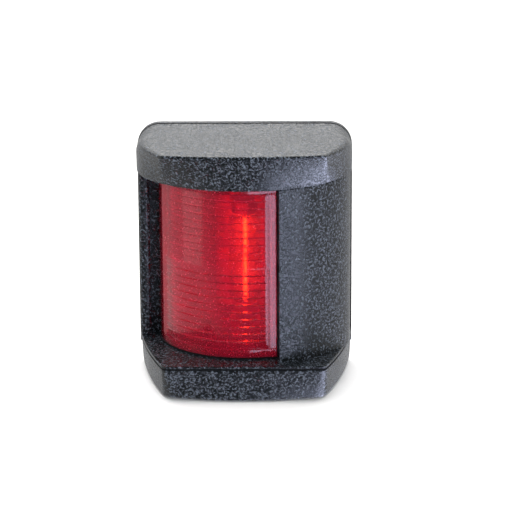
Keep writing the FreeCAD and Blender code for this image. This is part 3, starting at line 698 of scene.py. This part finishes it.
def seal_rubber():
    """Matt black rubber with a little bloom."""
    look = settings().finish
    made = Finish("seal_rubber", Specular_IOR_Level=0.12)
    bloom = made.noise(3 * MM, detail=5.0)
    skin_grain = made.noise(0.25 * MM)
    made.tint(bloom, look.rubber, shade(look.rubber, 2.2), 0.45, 0.8)
    made.rough(bloom, 0.55, 0.78)
    made.bump(skin_grain, 0.25, 0.04 * MM)
    return made.material


def gasket_foam():
    """Closed-cell foam with small pores."""
    look = settings().finish
    made = Finish("gasket_foam", IOR=1.4)
    cells = made.node("TexVoronoi", Scale=1 / (0.55 * MM))
    made.link(made.place, cells.inputs["Vector"])
    distance = cells.outputs["Distance"]
    # The cells are darker at their middles, where the bump sinks them: painted shade in the pores.
    made.tint(distance, shade(look.foam, 0.35), look.foam, 0.05, 0.5)
    made.rough(made.noise(2 * MM), 0.75, 0.92)
    made.bump(distance, 0.6, 0.12 * MM)
    return made.material


def red_lens():
    """Red clear plastic with a slight haze, dust and hair-fine moulding lines."""
    look = settings().finish
    made = Finish("red_lens", IOR=1.49, Transmission_Weight=0.8)
    cloud = made.noise(7 * MM, detail=4.0)
    lines = made.noise(1.0 * MM, detail=3.0, stretch=(0.03, 0.03, 2.2))
    dust = made.noise(0.35 * MM, detail=0.0)
    made.tint(cloud, look.red, shade(look.red, 0.82), 0.35, 0.75)
    edge_on = made.node("LayerWeight", Blend=0.5).outputs["Facing"]
    made.darken(made.fade(edge_on, 0.5, 0.95, 1.0, 0.1))
    specks = made.spread(dust, 0.74, 0.8, 0.0, 0.5)
    smooth = made.spread(made.sum_of((cloud, 0.5), (lines, 0.5)), 0.3, 0.7, 0.06, 0.13)
    made.link(made.sum_of((smooth, 1.0), (specks, 0.6)), made.shader.inputs["Roughness"])
    made.bump(lines, 0.2, 0.02 * MM)
    return made.material


def bulb_glass():
    """Thin clear glass with a faint smoky film."""
    made = Finish("bulb_glass", IOR=1.5, Base_Color=(1, 1, 1, 1), Transmission_Weight=1.0)
    film = made.noise(4 * MM, detail=3.0)
    made.link(made.spread(film, 0.3, 0.7, 0.3, 0.45), made.shader.inputs["Alpha"])
    made.rough(film, 0.02, 0.08)
    return made.material


def metal(name, tone, low, high, spacing, stretch=(1, 1, 1), depth=0.015 * MM):
    """Finish of a metal with brushing or turning marks, dull patches and slight tarnish."""
    made = Finish(name, Metallic=1.0)
    marks = made.noise(spacing, detail=4.0, stretch=stretch)
    patch = made.noise(2.5 * MM, detail=3.0)
    made.tint(patch, shade(tone, 0.72), tone, 0.35, 0.62)
    made.rough(made.sum_of((marks, 0.6), (patch, 0.4)), low, high)
    made.bump(marks, 0.5, depth)
    return made


def reflector_sheet():
    """Brushed aluminium with painted light from the bulb beside it and painted shade darkening it
    towards its left edge.
    """
    look = settings().finish
    made = metal("brushed_aluminium", look.aluminium, 0.3, 0.48, 0.3 * MM, (0.05, 1, 3))
    made.shader.inputs["Metallic"].default_value = 0.4
    across = made.node("SeparateXYZ")
    made.link(made.place, across.inputs["Vector"])
    # Painted shade: the plate is darkened towards its left edge, away from the painted light of the
    # bulb.
    made.darken(made.fade(across.outputs["X"], look.painted_shade_to, look.painted_bulb_light_from, 0.12, 1.0))
    return made.material


def glowing_wire():
    """Tungsten that glows."""
    look = settings().finish
    made = Finish("glowing_filament", Metallic=1.0, Emission_Color=(*look.glow, 1))
    draw = made.noise(0.1 * MM)
    heat = made.noise(2.2 * MM, detail=1.0, stretch=(0, 0, 1))
    glow = made.fade(heat, 0.42, 0.56, 0.1 * look.glow_strength, look.glow_strength)
    made.link(glow, made.shader.inputs["Emission Strength"])
    made.tint(draw, (0.25, 0.22, 0.2), (0.5, 0.46, 0.42))
    made.rough(draw, 0.3, 0.5)
    return made.material


def node_finishes():
    """The finish of every node that keeps its shape, by node."""
    look = settings().finish
    brass = metal("sprung_brass", look.brass, 0.22, 0.42, 0.3 * MM, (0.1, 0.1, 3)).material
    turned_brass = metal("turned_brass", shade(look.brass, 0.9), 0.2, 0.38, 0.25 * MM).material
    dull_brass = metal("dull_brass", shade(look.brass, 0.35), 0.5, 0.7, 0.25 * MM).material
    steel = metal("stainless_screws", look.steel, 0.2, 0.36, 0.25 * MM).material
    nickel = metal("nickel_plate", look.nickel, 0.28, 0.45, 0.5 * MM).material
    wire = metal("lead_wire", shade(look.nickel, 0.7), 0.3, 0.5, 0.2 * MM).material
    groups = (
        (gasket_foam(), "wall_gasket"),
        (seal_rubber(),
         "hood_seal lens_seal_lower lens_seal_upper cable_grommet cover_screw_o_ring"),
        (smooth_plastic(), "lens_lock_strip"),
        (reflector_sheet(), "heat_shield"),
        (turned_brass, "heat_shield_rivets contact_rivets threaded_insert"),
        (dull_brass, "terminal_screws terminal_washers"),
        (brass, "upper_contact lower_contact"),
        (bulb_glass(), "bulb_glass"),
        (nickel, "bulb_upper_cap bulb_lower_cap"),
        (wire, "filament_leads filament_support"),
        (steel, "cap_screws cover_screw cover_screw_washer"),
    )
    return {name: finish for finish, names in groups for name in names.split()}


# ---------------------------------------------------------------- pieces

class SIDELIGHT_OT_cap(bpy.types.Operator):
    """Build the cap: a rounded trapezoid on top that runs down into the shield's broad round"""

    bl_idname = "sidelight.cap"
    bl_label = "Cap"

    def execute(self, context):
        hood, base = settings().hood, settings().base
        proud = -hood.overhang
        right, left = hood.turn_x + hood.cap_corner, hood.turn_x - hood.cap_corner
        outer = (right, side_depth(right, proud))
        inner = (left, front_depth(left, proud))
        low = cap_outline(hood.half + hood.overhang, hood.side_depth, outer, inner,
                          (hood.side_radius + hood.overhang, hood.cap_corner_radius,
                           hood.front_radius + hood.overhang))
        depth = -BASE_LOW.y
        past, behind = 0.3, 0.95
        outer = (base.corner_x + past * base.corner_cut, depth - behind * base.corner_cut)
        inner = (base.corner_x - base.corner_cut, depth)
        high = cap_outline(CAP_HIGH.x, hood.cap_side_depth, outer, inner,
                           (hood.cap_side_radius, base.corner_radius, hood.cap_front_radius))
        slope = math.tan(hood.cap_slope)
        tips = [Vector((p.x, -p.y, CAP_HIGH.z - slope * (p.y + CAP_HIGH.y))) for p in high]
        feet = level(low, CAP_LOW.z)
        ways = inward(high)
        walls, tops = [], []
        for point, tip, foot, way in zip(high, tips, feet, ways):
            forward = clamped((point.y - hood.side_depth) / (depth - hood.side_depth))
            reach = hood.edge + (hood.shoulder - hood.edge) * (1 - forward) ** 2
            walls.append(tip + (foot - tip).normalized() * reach)
            tops.append(tip + way * reach)
        rounds = [rounded(w, t, f, EDGE_STEPS) for w, t, f in zip(walls, tips, tops)]
        under = [foot + way * hood.lip for foot, way in zip(feet, ways)]
        above = [foot + (tip - foot).normalized() * hood.lip for foot, tip in zip(feet, tips)]
        lips = [rounded(u, f, a, LIP_STEPS) for u, f, a in zip(under, feet, above)]
        ceiling = CAP_LOW.z + hood.hollow_deep
        hollow = even(chamber_outline(hood.hollow, settings().lens.axis, -CAP_HIGH.y + hood.wall),
                      len(high))
        rings = [level(hollow, ceiling), level(hollow, CAP_LOW.z), under, *zip(*lips), above]
        rings += between(above, walls)
        rings += [*zip(*rounds), tops]
        cap = new_object("cap", skin(rings))
        complete(cap, "hood", context.scene.side_light_grain, ["top_cap"])
        return {"FINISHED"}


class SIDELIGHT_OT_shield(bpy.types.Operator):
    """Build the shield: right wall, window edge, left post, web, flange, tab and bosses"""

    bl_idname = "sidelight.shield"
    bl_label = "Shield"

    def execute(self, context):
        hood, lens = settings().hood, settings().lens
        low, high = FLANGE_TOP - hood.flange, CAP_LOW.z
        back, left = -CAP_HIGH.y, -hood.half
        outer = side_wall(0.0, hood.jamb_x)
        inner = side_wall(hood.wall, hood.jamb_x + hood.web)
        jamb = [Vector((x, hood.jamb_back)) for x in (hood.jamb_x, hood.jamb_x + hood.web)]
        shield = prism("shield_shell", outer + jamb + inner[::-1], low, high, hood.wall_edge)
        edge = left + hood.post
        post = outline((left, back), ((left, hood.post_front), 0, 2),
                       ((edge, hood.post_front), 0, 1), ((edge, back), 0, 2))
        web = oblong(left + hood.wall / 2, lens.wall - lens.radius,
                     hood.web_front - hood.web, hood.web_front)
        tab = oblong(hood.boss, -hood.boss, -SCREW.y, lens.axis + lens.radius)
        head = hood.cap_screw_radius
        cap_screws = ((CAP_SCREWS_HIGH.x - head, -CAP_SCREWS_HIGH.y - head),
                      (CAP_SCREWS_LOW.x + head, -CAP_SCREWS_LOW.y - head))
        bosses = [prism("cap_boss", disc(x, depth, hood.cap_boss),
                        CAP_SCREWS_LOW.z + hood.cap_screw_head, high) for x, depth in cap_screws]
        flange = prism("flange", rim_outline(), low, FLANGE_TOP, hood.flange_edge)
        opening = prism("flange_opening", chamber_outline(hood.bore, lens.axis, back - 2 * MM),
                        low - MM, FLANGE_TOP + MM)
        combine(flange, [opening], "DIFFERENCE")
        joined = [
            prism("post", post, low, high, hood.post_edge),
            prism("web", web, low, high),
            flange,
            prism("tab", tab, INSERT_LOW.z, FLANGE_TOP - 0.1 * MM, hood.boss_edge),
            prism("boss", disc(SCREW.x, -SCREW.y, hood.boss), INSERT_LOW.z, INSERT_HIGH.z,
                  hood.boss_edge),
            *bosses,
        ]
        combine(shield, joined, "UNION")
        seat_radius = (INSERT_HIGH.x - INSERT_LOW.x) / 2
        seat = prism("insert_seat", disc(SCREW.x, -SCREW.y, seat_radius),
                     INSERT_LOW.z - MM, INSERT_HIGH.z + MM)
        combine(shield, [seat], "DIFFERENCE")
        complete(shield, "hood", context.scene.side_light_grain, ["shield"])
        return {"FINISHED"}


class SIDELIGHT_OT_base(bpy.types.Operator):
    """Build the base: the tray, the back plate and the screw boss, in one moulding"""

    bl_idname = "sidelight.base"
    bl_label = "Base"

    def execute(self, context):
        base = settings().base
        bottom, rim = BASE_LOW.z, SEAL_LOW.z
        foot = foot_outline()
        top = rim_outline(back=-BASE_HIGH.y)
        tips = level(foot, bottom)
        rims = level(top, rim)
        under = [tip + way * base.edge for tip, way in zip(tips, inward(foot))]
        walls = [tip + (high - tip).normalized() * base.edge for tip, high in zip(tips, rims)]
        rounds = [rounded(u, t, w, FOOT_STEPS) for u, t, w in zip(under, tips, walls)]
        below = [high + (tip - high).normalized() * base.lip for tip, high in zip(tips, rims)]
        inside = [high + way * base.lip for high, way in zip(rims, inward(top))]
        lips = [rounded(b, h, i, LIP_STEPS) for b, h, i in zip(below, rims, inside)]
        well = rim_outline(inset=base.wall, back=base.plate_front)
        rings = [under, *zip(*rounds), walls]
        rings += between(walls, below)
        rings += [*zip(*lips), inside, level(well, rim), level(well, bottom + base.floor)]
        housing = new_object("base", skin(rings))
        half, high, corner = BASE_HIGH.x, BASE_HIGH.z, base.plate_corner
        back_plate = outline(
            (half, rim - base.wall),
            ((half, high - corner), 0, 1),
            ((half - corner, high), corner, ARC_STEPS),
            ((corner - half, high), 0, 1),
            ((-half, high - corner), corner, ARC_STEPS),
            ((-half, rim - base.wall), 0, 1),
        )
        around = (SCREW.x, -SCREW.y)
        boss_top = bottom + base.boss_high
        joined = [
            plate("back_plate", back_plate, -BASE_HIGH.y, base.plate_front, base.plate_edge),
            prism("screw_boss", disc(*around, settings().hood.boss), bottom + base.floor / 2,
                  boss_top, settings().hood.boss_edge),
        ]
        combine(housing, joined, "UNION")
        holes = [(GROMMET.x, GROMMET.z, base.cable_radius, 0.0)]
        holes += [(side * base.mount_x, 0.0, base.mount_radius, base.film - BASE_HIGH.y)
                  for side in (-1, 1)]
        cutters = [plate("hole", disc(x, z, radius), back, base.plate_front + MM)
                   for x, z, radius, back in holes]
        cutters += [
            prism("sink", disc(*around, base.sink_radius), bottom - MM, bottom + base.sink_deep),
            prism("screw_hole", disc(*around, base.screw_hole), bottom, boss_top + MM),
        ]
        combine(housing, cutters, "DIFFERENCE")
        complete(housing, "mounting_base", context.scene.side_light_grain,
                 ["base_housing"])
        return {"FINISHED"}


class SIDELIGHT_OT_lens(bpy.types.Operator):
    """Build the lens: plain bands and a plain strip round a ribbed field"""

    bl_idname = "sidelight.lens"
    bl_label = "Lens"

    def execute(self, context):
        lens = settings().lens
        rings = []
        edge = LENS_HIGH.x - lens.gap
        strip = edge - lens.strip
        turn = math.asin((strip - lens.blend) / lens.radius)
        bore = lens.radius - lens.wall
        section = self.section(lens, bore)
        for step in range(LENS_STEPS + 1):
            ring = []
            for z, radius, cut in section:
                first = math.asin(edge / radius)
                angle = first - (first + math.pi / 2) * step / LENS_STEPS
                x = radius * math.sin(angle)
                border = clamped((-math.degrees(angle) - BORDER_FROM) / BORDER_OVER)
                ribbed = clamped((strip - x) / lens.blend) * (1 - border)
                reach = radius - cut * ribbed * (1 if radius > bore else -1)
                if radius > bore and angle > turn:
                    reach *= math.cos(turn - lens.strip_turn) / math.cos(angle - lens.strip_turn)
                if radius == lens.radius:
                    reach += lens.band * border
                across, depth = reach * math.sin(angle), lens.axis + reach * math.cos(angle)
                ring.append(Vector((across, -depth, z)))
            rings.append(ring)
        rings.append([Vector((p.x, LENS_HIGH.y, p.z)) for p in rings[-1]])
        made = new_object("lens_body", skin(rings))
        complete(made, "hood", red_lens(), ["lens"])
        return {"FINISHED"}

    def section(self, lens, bore):
        """The lens's upright section, as (height, radius, depth cut away for a rib)."""
        low, high = LENS_LOW.z, LENS_HIGH.z
        field_low, field_high = low + lens.foot, high - lens.head
        band = lens.radius + lens.band
        ribs = round((field_high - field_low) / lens.pitch)
        tall = (field_high - field_low) / ribs
        field = []
        for n in range(ribs):
            start = field_low + n * tall
            below = start + tall / 2 < (field_high + field_low) / 2
            field.append((start + RIB_START * tall, lens.radius, lens.rib if below else 0.0))
            field.append((start + RIB_END * tall, lens.radius, 0.0 if below else lens.rib))
        return [
            (low, band, 0.0),
            (field_low - lens.band_slope, band, 0.0),
            *field,
            (field_high + lens.band_slope, band, 0.0),
            (high, band, 0.0),
            (high, bore, 0.0),
            *((z, bore, lens.rib - cut) for z, _, cut in field[::-1]),
            (low, bore, 0.0),
        ]


class SIDELIGHT_OT_filament(bpy.types.Operator):
    """Wind the filament"""

    bl_idname = "sidelight.filament"
    bl_label = "Filament"

    def execute(self, context):
        sizes = settings().filament
        middle = (FILAMENT_LOW + FILAMENT_HIGH) / 2
        radius = (FILAMENT_HIGH.x - FILAMENT_LOW.x) / 2 - sizes.wire
        around, sides = 14, 8
        low, high = FILAMENT_LOW.z + sizes.wire, FILAMENT_HIGH.z - sizes.wire
        rings = []
        count = sizes.turns * around
        for n in range(count + 1):
            angle = 2 * math.pi * n / around
            out = Vector((math.cos(angle), math.sin(angle), 0))
            centre = middle + out * radius
            centre.z = low + (high - low) * n / count
            spots = (2 * math.pi * k / sides for k in range(sides))
            rings.append([centre + sizes.wire * (out * math.cos(a) + Vector((0, 0, math.sin(a))))
                          for a in spots])
        made = new_object("filament_coil", skin(rings))
        complete(made, "bulb", glowing_wire(), ["filament"])
        return {"FINISHED"}


class SIDELIGHT_OT_finishes(bpy.types.Operator):
    """Give every node that keeps its own shape its finish"""

    bl_idname = "sidelight.finishes"
    bl_label = "Finishes of the small parts"

    def execute(self, context):
        for name, finish in node_finishes().items():
            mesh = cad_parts[name].data
            if not mesh.materials:
                mesh.materials.append(finish)
            for n in range(len(mesh.materials)):
                mesh.materials[n] = finish
        return {"FINISHED"}


class SIDELIGHT_OT_stage(bpy.types.Operator):
    """Set up the floor, the soft lights, the surroundings and the camera"""

    bl_idname = "sidelight.stage"
    bl_label = "Stage"

    def execute(self, context):
        stage = settings().stage
        self.lay_floor(stage)
        for box in SOFTBOXES:
            self.hang(box, context.scene)
        surroundings(context.scene)
        camera = bpy.data.cameras.new("camera")
        camera.sensor_width = 36
        camera.lens = stage.focal
        camera.clip_start = 0.01
        view = bpy.data.objects.new("camera", camera)
        level_way = math.cos(stage.elevation)
        away = Vector((math.sin(stage.azimuth) * level_way, -math.cos(stage.azimuth) * level_way,
                       math.sin(stage.elevation)))
        centre = Vector((0, -stage.centre_depth, stage.centre_height))
        view.location = centre + away * stage.distance
        aim = centre + Vector((stage.aim_x, 0, stage.aim_z))
        turn = (aim - view.location).to_track_quat("-Z", "Y").to_matrix()
        view.rotation_euler = (turn @ Matrix.Rotation(stage.roll, 3, "Z")).to_euler()
        context.scene.collection.objects.link(view)
        context.scene.camera = view
        context.scene.view_settings.view_transform = "Standard"
        return {"FINISHED"}

    def lay_floor(self, stage):
        """The pale floor, just under the light."""
        size = stage.floor_size
        ground = CAD_BOX[0][2] - 0.05 * MM
        maker = bmesh.new()
        maker.faces.new([maker.verts.new((x * size, y * size, ground))
                         for x, y in ((-1, -1), (1, -1), (1, 1), (-1, 1))])
        floor = new_object("floor", maker)
        paper = Finish("pale_paper", Specular_IOR_Level=0.2)
        tooth = paper.noise(3 * MM, detail=4.0)
        paper.tint(tooth, shade(stage.floor, 0.985), stage.floor)
        paper.rough(tooth, 0.85, 0.95)
        floor.data.materials.append(paper.material)
        floor.visible_glossy = False

    def hang(self, box, scene):
        """One softbox, turned towards the middle of the light."""
        lamp = bpy.data.lights.new(box.name, "AREA")
        lamp.shape = "RECTANGLE"
        lamp.size, lamp.size_y = box.width, box.height
        lamp.energy = box.watts
        lamp.color = box.tone
        holder = bpy.data.objects.new(box.name, lamp)
        holder.location = box.place
        middle = (Vector(CAD_BOX[0]) + Vector(CAD_BOX[1])) / 2
        way = middle - Vector(box.place)
        holder.rotation_euler = way.to_track_quat("-Z", "Y").to_euler()
        holder.visible_camera = False
        holder.visible_glossy = box.glossy
        scene.collection.objects.link(holder)


Softbox = namedtuple("Softbox", "name place width height watts tone glossy")
SOFTBOXES = (
    Softbox("top_softbox", (-0.05, 0.05, 0.75), 0.8, 0.8, 12.0, (1.0, 0.98, 0.97), False),
    Softbox("front_softbox", (0.15, -0.9, 0.4), 0.5, 0.5, 6.0, (0.95, 0.98, 1.0), False),
    Softbox("left_softbox", (-0.62, -0.2, 0.2), 0.4, 0.7, 0.6, (1.0, 0.97, 0.95), True),
)


def surroundings(scene):
    """Soft light all round: dim in front, bright above the back, a cool window on the right."""
    stage = settings().stage
    world = bpy.data.worlds.new("studio")
    scene.world = world
    world.use_nodes = True
    work = NodeWork(world.node_tree)
    world.node_tree.nodes.clear()
    way = work.node("SeparateXYZ")
    work.link(work.node("TexCoord").outputs["Generated"], way.inputs["Vector"])
    right, back, up = (way.outputs[axis] for axis in "XYZ")
    azimuth = work.compute("ARCTAN2", right, work.compute("MULTIPLY", back, -1.0))
    aside = work.compute("ABSOLUTE", azimuth)
    around = work.compute(
        "MULTIPLY",
        work.fade(aside, math.radians(20), math.radians(75), stage.front_sky, stage.side_sky),
        work.fade(up, 0.45, 0.8, 1.0, stage.overhead),
    )
    rear = work.compute("MULTIPLY", work.fade(back, 0.3, 0.9),
                        work.fade(up, 0.02, 0.25, 0.0, stage.rear_sky))
    slant = work.compute("DIVIDE", right, work.compute("MULTIPLY", up, -1.0))
    pane = work.compute("MULTIPLY", work.fade(up, -0.52, -0.42),
                        work.fade(up, -0.14, -0.06, stage.window, 0.0))
    pane = work.compute("MULTIPLY", pane,
                        work.fade(azimuth, math.radians(52), math.radians(68), 1.0, 0.0))
    low_pane = work.fade(up, -0.68, -0.6, stage.low_window, 0.0)
    window = work.compute("MULTIPLY", work.fade(slant, 0.24, 0.4),
                          work.compute("ADD", pane, low_pane))
    white = (1, 1, 1)
    lights = [
        background(work, white, work.compute("ADD", around, rear)),
        background(work, stage.window_tone, window),
    ]
    both = work.node("AddShader")
    for light, socket in zip(lights, both.inputs):
        work.link(light, socket)
    seen = work.node("MixShader")
    work.link(work.node("LightPath").outputs["Is Camera Ray"], seen.inputs["Fac"])
    work.link(both.outputs["Shader"], seen.inputs[1])
    work.link(background(work, white), seen.inputs[2])
    work.link(seen.outputs["Shader"], work.node("OutputWorld").inputs["Surface"])


def background(work, tone, strength=None):
    """The light of a background of one colour, as strong as a socket says, or 1."""
    made = work.node("Background", Color=(*tone, 1))
    if strength is not None:
        work.link(strength, made.inputs["Strength"])
    return made.outputs["Background"]


class SIDELIGHT_PT_panel(bpy.types.Panel):
    """The side light's tools in the sidebar."""

    bl_idname = "SIDELIGHT_PT_panel"
    bl_label = "Side light"
    bl_space_type = "VIEW_3D"
    bl_region_type = "UI"
    bl_category = "Side light"

    def draw(self, context):
        for step in STEPS:
            self.layout.operator(step.bl_idname)


STEPS = (
    SIDELIGHT_OT_stage,
    SIDELIGHT_OT_finishes,
    SIDELIGHT_OT_base,
    SIDELIGHT_OT_shield,
    SIDELIGHT_OT_cap,
    SIDELIGHT_OT_lens,
    SIDELIGHT_OT_filament,
)
GROUPS = (HoodSizes, BaseSizes, LensSizes, FilamentSizes, FinishSettings, StageSettings,
          SideLightSettings)


def register():
    """Adds the settings, the tools and the panel."""
    for kind in (*GROUPS, *STEPS, SIDELIGHT_PT_panel):
        bpy.utils.register_class(kind)
    bpy.types.Scene.side_light = PointerProperty(type=SideLightSettings)
    bpy.types.Scene.side_light_grain = PointerProperty(type=bpy.types.Material)


def unregister():
    """Takes them away again."""
    del bpy.types.Scene.side_light_grain
    del bpy.types.Scene.side_light
    for kind in reversed((*GROUPS, *STEPS, SIDELIGHT_PT_panel)):
        bpy.utils.unregister_class(kind)


def main():
    """Builds everything in order."""
    register()
    bpy.context.scene.side_light_grain = grained_plastic()
    for step in STEPS:
        group, tool = step.bl_idname.split(".")
        getattr(getattr(bpy.ops, group), tool)()


if __name__ == "__main__":
    main()
